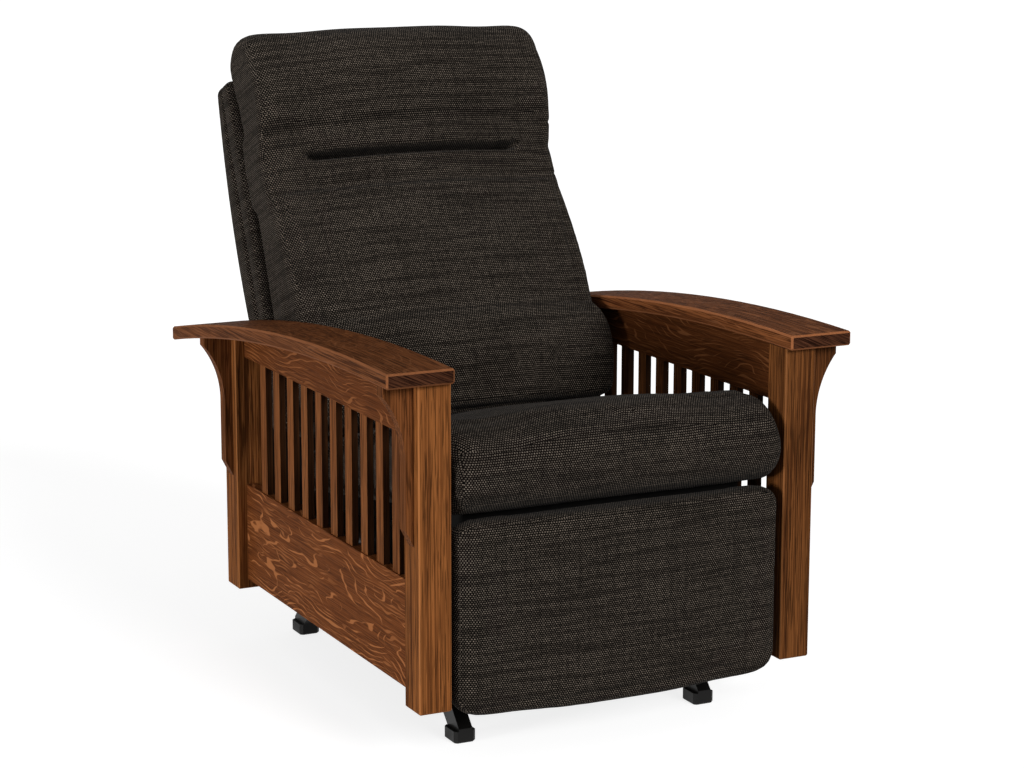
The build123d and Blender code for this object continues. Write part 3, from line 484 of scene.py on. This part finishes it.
def from_back(points):
    up, out = points[:, UP], points[:, OUT]
    y = BACK_FOOT[0] + up * math.sin(BACK_LEAN) - out * math.cos(BACK_LEAN)
    z = BACK_FOOT[1] + up * math.cos(BACK_LEAN) + out * math.sin(BACK_LEAN)
    return np.column_stack((points[:, X], y, z))


def same(points):
    return points


SMALLEST = 1e-9


def smooth_step(value, low, high):
    share = np.clip((value - low) / (high - low), 0.0, 1.0)
    return share * share * (3 - 2 * share)


def solid_copy(name, node, voxel, shrink):
    """Even quad mesh of a node's form, drawn in by a little along its normals."""
    piece = bpy.data.objects.new(name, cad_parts[node].data.copy())
    scene.collection.objects.link(piece)
    piece.data.materials.clear()
    remesh = piece.modifiers.new("even", "REMESH")
    remesh.mode = "VOXEL"
    remesh.voxel_size = voxel
    piece.data = evaluated_mesh(piece)
    piece.modifiers.clear()
    mesh = piece.data
    normals = np.empty(len(mesh.vertices) * 3)
    mesh.vertices.foreach_get("normal", normals)
    place_points(mesh, coordinates(mesh) - shrink * normals.reshape(-1, 3))
    return piece


def relax(piece, rounds):
    """Evens the surface out, which rounds its edges."""
    smooth = piece.modifiers.new("relax", "SMOOTH")
    smooth.factor = 0.5
    smooth.iterations = rounds
    mesh = evaluated_mesh(piece)
    piece.modifiers.clear()
    place_points(piece.data, coordinates(mesh))
    bpy.data.meshes.remove(mesh)


CLOTH_FRAMES = 20
CLOTH_MASS = 0.3
CLOTH_BENDING = 2.0


def fill_with_air(piece, pressure, most, tension=12.0):
    """Cloth run under pressure, in which no point moves further than most."""
    start = coordinates(piece.data)
    cloth = piece.modifiers.new("fill", "CLOTH")
    cloth.settings.quality = 4
    cloth.settings.mass = CLOTH_MASS
    cloth.settings.tension_stiffness = tension
    cloth.settings.compression_stiffness = tension
    cloth.settings.shear_stiffness = tension / 2
    cloth.settings.bending_stiffness = CLOTH_BENDING
    cloth.settings.use_pressure = True
    cloth.settings.uniform_pressure_force = pressure
    cloth.settings.effector_weights.gravity = 0.0
    cloth.collision_settings.use_collision = False
    cloth.collision_settings.use_self_collision = False
    for number in range(1, CLOTH_FRAMES + 1):
        scene.frame_set(number)
    mesh = evaluated_mesh(piece)
    moved = coordinates(mesh) - start
    bpy.data.meshes.remove(mesh)
    piece.modifiers.clear()
    scene.frame_set(1)
    length = np.maximum(np.linalg.norm(moved, axis=1), SMALLEST)
    place_points(piece.data, start + moved * np.minimum(1.0, most / length)[:, None])


def hold_form(points, node, deepest, proudest, free=None):
    """Keeps points no deeper than deepest inside the node's surface, and no prouder than proudest over it."""
    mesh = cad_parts[node].data
    mesh.calc_loop_triangles()
    corners = [vertex.co for vertex in mesh.vertices]
    triangles = [tuple(triangle.vertices) for triangle in mesh.loop_triangles]
    tree = bvhtree.BVHTree.FromPolygons(corners, triangles)
    for index, point in enumerate(points):
        if free is not None and free[index]:
            continue
        place = Vector(point)
        nearest, normal, _, distance = tree.find_nearest(place)
        limit = proudest if (place - nearest).dot(normal) > 0 else deepest
        if distance > limit:
            points[index] = nearest + (place - nearest) * (limit / distance)
    return points


def melt_band(piece, inside, rounds):
    """Draws the vertices of a band straight between its two edges."""
    group = piece.vertex_groups.new(name="band")
    group.add([int(index) for index in np.nonzero(inside)[0]], 1.0, "REPLACE")
    smooth = piece.modifiers.new("melt", "SMOOTH")
    smooth.vertex_group = "band"
    smooth.factor = 0.9
    smooth.iterations = rounds
    mesh = evaluated_mesh(piece)
    piece.modifiers.clear()
    piece.vertex_groups.clear()
    points = coordinates(mesh)
    points[:, X] = coordinates(piece.data)[:, X]
    place_points(piece.data, points)
    bpy.data.meshes.remove(mesh)


def subdivide(piece):
    surface = piece.modifiers.new("fine", "SUBSURF")
    surface.levels = 1
    surface.render_levels = 1
    piece.data = evaluated_mesh(piece)
    piece.modifiers.clear()


def finish_pad(piece, node, body, material):
    piece.data.materials.clear()
    piece.data.materials.append(material)
    for polygon in piece.data.polygons:
        polygon.use_smooth = True
    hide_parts(node)
    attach(piece, body)


def local_box(node, to_local):
    points = to_local(coordinates(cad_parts[node].data))
    return points.min(axis=0), points.max(axis=0)


def round_corners(points, across_limit, axis, limit, radius, sign):
    """Draws what lies outside a round corner of the front view in to its arc."""
    x = np.abs(points[:, X])
    height = sign * points[:, axis]
    centre_x = across_limit - radius
    centre_h = sign * limit - radius
    dx = x - centre_x
    dh = height - centre_h
    beyond = (dx > 0) & (dh > 0)
    reach = np.hypot(dx, dh)
    outside = beyond & (reach > radius)
    share = np.where(outside, radius / np.maximum(reach, SMALLEST), 1.0)
    points[:, X] = np.where(outside, np.sign(points[:, X]) * (centre_x + dx * share), points[:, X])
    points[:, axis] = np.where(outside, sign * (centre_h + dh * share), points[:, axis])
    return points


# Sizes that the pads share: mesh width, fullest swell and the cover's reach past the form's sides

PAD_VOXEL = 0.007
SWELL = 0.022
COVER = 0.001


# Seat cushion: crowned, with a full round nose

SEAT_DIP = 0.017
SEAT_DIP_HALF = 0.262
NOSE_DEPTH = 0.03
DECK_CLEARANCE = 0.0026


def deck_height(points):
    return DECK_FRONT_Z - DECK_SLOPE * (points[:, Y] + CENTRE_Y)


def make_seat():
    piece = solid_copy("seat_cushion_cover", "seat_cushion", voxel=PAD_VOXEL, shrink=0.004)
    _, high = local_box("seat_cushion", same)
    relax(piece, rounds=10)
    fill_with_air(piece, pressure=4.0, most=SWELL)
    subdivide(piece)
    held = hold_form(coordinates(piece.data), "seat_cushion", deepest=0.0015, proudest=0.0035)
    place_points(piece.data, held)
    relax(piece, rounds=4)
    points = coordinates(piece.data)
    over_deck = points[:, Z] - deck_height(points)
    middle = np.clip(1 - (points[:, X] / SEAT_DIP_HALF) ** 2, 0.0, 1.0)
    points[:, Z] -= SEAT_DIP * middle * smooth_step(over_deck, 0.05, 0.115)
    points = round_corners(points, high[X] + COVER, Z, high[Z] - 0.014, radius=0.034, sign=1)
    deck = deck_height(points) + DECK_CLEARANCE
    behind_nose = points[:, Y] + CENTRE_Y > NOSE_DEPTH
    points[:, Z] = np.where(behind_nose, np.maximum(points[:, Z], deck), points[:, Z])
    place_points(piece.data, points)
    finish_pad(piece, "seat_cushion", "seat", tweed_upright)


# Back pillow: lumbar swell, and a head roll that hangs over one deep sewn tuck

PILLOW_VOXEL = 0.006

# Height of the form's own crease, half the band that is drawn even, its edges and the steps through it
CREASE_UP = 0.491
CREASE_BAND = 0.050
BAND_EDGE = 0.022
BAND_STEP = 0.004
BAND_FRONT_HALF = 0.22

# Height and half width of the tuck, and the depths and heights of its slit, valley, seam, roll and overhang
TUCK_UP = 0.4985
TUCK_HALF = 0.200
SLIT_DEPTH, SLIT_HEIGHT = 0.032, 0.0075
VALLEY_DEPTH, VALLEY_HEIGHT = 0.008, 0.024
SEAM_DEPTH = 0.0018
ROLL_RISE, ROLL_START, ROLL_HEIGHT = 0.013, 0.024, 0.034
HANG_DROP, HANG_UP, HANG_HEIGHT = 0.009, 0.014, 0.012
BOTTOM_SAG = 0.006


def even_band(points):
    """Gives the band round the crease the width and depth that run straight on from both sides of it."""
    lowest = CREASE_UP - CREASE_BAND - BAND_EDGE
    levels = np.arange(lowest, CREASE_UP + CREASE_BAND + BAND_EDGE + 0.001, BAND_STEP)
    outer = np.abs(levels - CREASE_UP) > CREASE_BAND
    front = points[:, OUT] > 0.05
    for axis, chosen in ((X, front), (OUT, front & (np.abs(points[:, X]) < BAND_FRONT_HALF))):
        reach = []
        for level in levels:
            inside = chosen & (np.abs(points[:, UP] - level) < 0.005)
            reach.append(np.percentile(np.abs(points[inside, axis]), 98))
        wanted = np.interp(levels, levels[outer], np.array(reach)[outer])
        if axis == X:
            points[:, X] *= np.interp(points[:, UP], levels, wanted / reach)
        else:
            lack = np.interp(points[:, UP], levels, wanted - reach)
            points[:, OUT] += lack * smooth_step(points[:, OUT], 0.02, 0.07)
    return points


def bell(distance, width):
    return np.exp(-((distance / width) ** 2))


def sew_tuck(points):
    """Draws a deep slit in, with the roll above pushed out and down over it, and a thin seam beside it."""
    x, up, out = points.T
    height = up - TUCK_UP
    front = out > 0.055
    window = smooth_step(-np.abs(x), -TUCK_HALF - 0.014, -TUCK_HALF + 0.012)
    slit = bell(height, SLIT_HEIGHT)
    valley = bell(height, VALLEY_HEIGHT)
    above = np.clip(height, 0.0, 1.0)
    roll = above / ROLL_START * bell(above, ROLL_HEIGHT)
    depth = window * (SLIT_DEPTH * slit + VALLEY_DEPTH * valley) + (1 - window) * SEAM_DEPTH * slit
    depth -= (0.25 + 0.75 * window) * ROLL_RISE * roll
    out = np.where(front, out - depth, out)
    hang = HANG_DROP * window * bell(height - HANG_UP, HANG_HEIGHT)
    up = np.where(front, up - hang, up)
    return np.column_stack((x, up, out))


def make_pillow():
    piece = solid_copy("back_pillow_cover", "back_pillow", voxel=PILLOW_VOXEL, shrink=0.004)
    low, high = local_box("back_pillow", to_back)
    relax(piece, rounds=10)
    local = to_back(coordinates(piece.data))
    melt_band(piece, (np.abs(local[:, UP] - CREASE_UP) < 0.046) & (local[:, OUT] > 0.03), rounds=400)
    before = coordinates(piece.data)
    fill_with_air(piece, pressure=4.0, most=SWELL)
    from_crease = np.abs(to_back(before)[:, UP] - CREASE_UP)
    still = smooth_step(CREASE_BAND + 0.03 - from_crease, 0.0, 0.028)[:, None]
    place_points(piece.data, coordinates(piece.data) * (1 - still) + before * still)
    subdivide(piece)
    points = coordinates(piece.data)
    free = np.abs(to_back(points)[:, UP] - CREASE_UP) < CREASE_BAND
    points = hold_form(points, "back_pillow", deepest=0.0015, proudest=0.005, free=free)
    place_points(piece.data, from_back(even_band(to_back(points))))
    relax(piece, rounds=8)
    points = to_back(coordinates(piece.data))
    points = round_corners(points, high[X] + COVER, UP, high[UP] + 0.004, radius=0.040, sign=1)
    points = round_corners(points, high[X] + COVER, UP, low[UP] - 0.002, radius=0.026, sign=-1)
    points = sew_tuck(points)
    points[:, UP] -= BOTTOM_SAG * (1 - smooth_step(points[:, UP], low[UP], low[UP] + 0.08))
    place_points(piece.data, from_back(points))
    finish_pad(piece, "back_pillow", "back", tweed_back)


# Outside back: a thin padded panel over the frame, with a groove down each side

TOP_RISE = 0.005
GROOVE_DEPTH = 0.0035
GROOVE_HEIGHT = 0.0035
GROOVE_BEHIND_FRONT = 0.036


def make_outside_back():
    piece = solid_copy("outside_back_cover", "outside_back", voxel=PAD_VOXEL, shrink=0.002)
    _, high = local_box("outside_back", to_back)
    relax(piece, rounds=4)
    fill_with_air(piece, pressure=1.5, most=0.006, tension=30.0)
    subdivide(piece)
    held = hold_form(coordinates(piece.data), "outside_back", deepest=0.001, proudest=0.003)
    place_points(piece.data, held)
    relax(piece, rounds=3)
    points = to_back(coordinates(piece.data))
    points[:, UP] += TOP_RISE * smooth_step(points[:, UP], high[UP] - 0.08, high[UP])
    points = round_corners(points, high[X] + COVER, UP, high[UP] + 0.006, radius=0.014, sign=1)
    groove = bell(points[:, OUT] - (high[OUT] - GROOVE_BEHIND_FRONT), GROOVE_HEIGHT)
    side = smooth_step(np.abs(points[:, X]), high[X] - 0.012, high[X] - 0.003)
    points[:, X] -= np.sign(points[:, X]) * GROOVE_DEPTH * groove * side
    place_points(piece.data, from_back(points))
    finish_pad(piece, "outside_back", "back", tweed_back)


# Lining flap: loose cloth under the outside back

FLAP_Y = 0.777
FLAP_SWAY = 0.012
FLAP_WAVE, FLAP_RIPPLE = 0.0035, 0.001


def flap_vertices(half, top, bottom, deep, columns, rows):
    """Two layers of points, each in rows from the top edge down."""
    vertices = []
    for side in (0, 1):
        for row in range(rows + 1):
            share = row / rows
            sway = FLAP_Y - CENTRE_Y + FLAP_SWAY * math.sin(share * math.pi / 2)
            for column in range(columns + 1):
                x = half * (2 * column / columns - 1)
                wave = FLAP_WAVE * share * math.sin(x * 46 + 0.6 * math.sin(x * 19))
                wave += FLAP_RIPPLE * math.sin(x * 131) * share
                vertices.append((x, sway + wave + side * deep, top + (bottom - top) * share))
    return vertices


def flap_faces(columns, rows):
    """Faces of both layers and of the rim that joins them."""
    width = columns + 1
    back = width * (rows + 1)
    faces = []
    for row in range(rows):
        for column in range(columns):
            corner = row * width + column
            below = corner + width
            faces.append((corner, corner + 1, below + 1, below))
            faces.append((back + corner, back + below, back + below + 1, back + corner + 1))
    rim = [row * width for row in range(rows + 1)]
    rim += [rows * width + column for column in range(1, width)]
    rim += [row * width + columns for row in range(rows - 1, -1, -1)]
    rim += [column for column in range(columns - 1, 0, -1)]
    for first, second in zip(rim, rim[1:] + rim[:1]):
        faces.append((first, second, back + second, back + first))
    return faces


def make_back_flap():
    """Hangs from the outside back's lower edge and closes the view under it."""
    half, top, bottom, deep = 0.283, 0.420, 0.240, 0.0016
    columns, rows = 142, 30
    mesh = bpy.data.meshes.new("back_flap")
    mesh.from_pydata(flap_vertices(half, top, bottom, deep, columns, rows), [], flap_faces(columns, rows))
    piece = bpy.data.objects.new("back_flap", mesh)
    scene.collection.objects.link(piece)
    bm = bmesh.new()
    bm.from_mesh(mesh)
    bmesh.ops.recalc_face_normals(bm, faces=bm.faces)
    bm.to_mesh(mesh)
    bm.free()
    mesh.materials.append(lining)
    for polygon in mesh.polygons:
        polygon.use_smooth = True
    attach(piece, "back")


# Leg rest pad: nearly flat, gently crowned, with rounder corners below than above

LOWER_EDGE_DROP = 0.008


def make_leg_rest():
    piece = solid_copy("leg_rest_cover", "ottoman_pad", voxel=PAD_VOXEL, shrink=0.003)
    low, high = local_box("ottoman_pad", same)
    relax(piece, rounds=5)
    fill_with_air(piece, pressure=2.5, most=0.008, tension=25.0)
    subdivide(piece)
    held = hold_form(coordinates(piece.data), "ottoman_pad", deepest=0.001, proudest=0.003)
    place_points(piece.data, held)
    relax(piece, rounds=3)
    points = coordinates(piece.data)
    points[:, Z] -= LOWER_EDGE_DROP * (1 - smooth_step(points[:, Z], low[Z], low[Z] + 0.12))
    points = round_corners(points, high[X] + COVER, Z, high[Z] + 0.001, radius=0.024, sign=1)
    points = round_corners(points, high[X] + COVER, Z, low[Z] - 0.009, radius=0.046, sign=-1)
    place_points(piece.data, points)
    finish_pad(piece, "ottoman_pad", "ottoman", tweed_upright)


make_seat()
make_pillow()
make_outside_back()
make_back_flap()
make_leg_rest()


# Floor, light and camera

FLOOR_GREY = 0.42
FLOOR_GLOW = 0.80
FLOOR_REACH = 60.0
WORLD_LIGHT = 0.35

def stage_material():
    """Pale floor: white to the camera, with the chair's shadow kept."""
    material = bpy.data.materials.new("studio_floor")
    material.use_nodes = True
    tree = material.node_tree
    tree.nodes.clear()
    output = tree.nodes.new("ShaderNodeOutputMaterial")
    diffuse = tree.nodes.new("ShaderNodeBsdfDiffuse")
    diffuse.inputs["Color"].default_value = (FLOOR_GREY, FLOOR_GREY, FLOOR_GREY, 1.0)
    glow = tree.nodes.new("ShaderNodeEmission")
    glow.inputs["Color"].default_value = (1.0, 1.0, 1.0, 1.0)
    path = tree.nodes.new("ShaderNodeLightPath")
    seen = total(tree, path.outputs["Is Camera Ray"], path.outputs["Is Glossy Ray"])
    seen = math_node(tree, "ADD", seen, path.outputs["Is Transmission Ray"], clamp=True)
    feed(tree, glow.inputs["Strength"], scaled(tree, seen, FLOOR_GLOW))
    both = tree.nodes.new("ShaderNodeAddShader")
    tree.links.new(diffuse.outputs[0], both.inputs[0])
    tree.links.new(glow.outputs[0], both.inputs[1])
    tree.links.new(both.outputs[0], output.inputs["Surface"])
    return material


def make_stage():
    mesh = bpy.data.meshes.new("studio_floor")
    signs = ((-1, -1), (1, -1), (1, 1), (-1, 1))
    corners = [(FLOOR_REACH * x, FLOOR_REACH * y, 0.0) for x, y in signs]
    mesh.from_pydata(corners, [], [(0, 1, 2, 3)])
    floor = bpy.data.objects.new("studio_floor", mesh)
    mesh.materials.append(stage_material())
    scene.collection.objects.link(floor)


def make_world():
    world = bpy.data.worlds.new("studio")
    world.use_nodes = True
    tree = world.node_tree
    background = tree.nodes["Background"]
    background.inputs["Color"].default_value = (1.0, 1.0, 1.0, 1.0)
    path = tree.nodes.new("ShaderNodeLightPath")
    rays = (path.outputs["Is Camera Ray"], path.outputs["Is Transmission Ray"])
    seen = math_node(tree, "ADD", *rays, clamp=True)
    feed(tree, background.inputs["Strength"], scaled(tree, seen, 1 - WORLD_LIGHT, WORLD_LIGHT))
    scene.world = world


def make_sun(name, azimuth, elevation, strength, spread):
    """Azimuth 0 shines along +Y from the front, 90 along +X from the side at -X."""
    lamp = bpy.data.lights.new(name, "SUN")
    lamp.energy = strength
    lamp.angle = math.radians(spread)
    holder = bpy.data.objects.new(name, lamp)
    turn = math.radians(azimuth)
    rise = math.radians(elevation)
    way = Vector((math.sin(turn) * math.cos(rise), math.cos(turn) * math.cos(rise), -math.sin(rise)))
    holder.rotation_euler = way.to_track_quat("-Z", "Y").to_euler()
    scene.collection.objects.link(holder)


CAMERA_PLACE = (-1.9794, -3.5903 - CENTRE_Y, 1.4395)
CAMERA_TURNS = (0.4613, 0.205, 0.0021)
FOCAL_PIXELS = 2686.3
PICTURE_WIDTH = 1024
SENSOR_WIDTH = 36.0


def make_camera():
    yaw, pitch, roll = CAMERA_TURNS
    forward = Vector((math.sin(yaw) * math.cos(pitch), math.cos(yaw) * math.cos(pitch), -math.sin(pitch)))
    level = Vector((math.cos(yaw), -math.sin(yaw), 0.0))
    over = level.cross(forward)
    right = math.cos(roll) * level + math.sin(roll) * over
    up = -math.sin(roll) * level + math.cos(roll) * over
    lens = bpy.data.cameras.new("camera")
    lens.sensor_width = SENSOR_WIDTH
    lens.lens = FOCAL_PIXELS / PICTURE_WIDTH * SENSOR_WIDTH
    lens.clip_end = 200.0
    camera = bpy.data.objects.new("camera", lens)
    turn = Matrix((right, up, -forward)).transposed()
    camera.matrix_world = Matrix.Translation(CAMERA_PLACE) @ turn.to_4x4()
    scene.collection.objects.link(camera)
    scene.camera = camera


make_stage()
make_world()
make_sun("front", azimuth=-12.0, elevation=26.0, strength=2.0, spread=22.0)
make_sun("side", azimuth=80.0, elevation=5.0, strength=2.2, spread=14.0)
make_camera()
scene.view_settings.view_transform = "Standard"
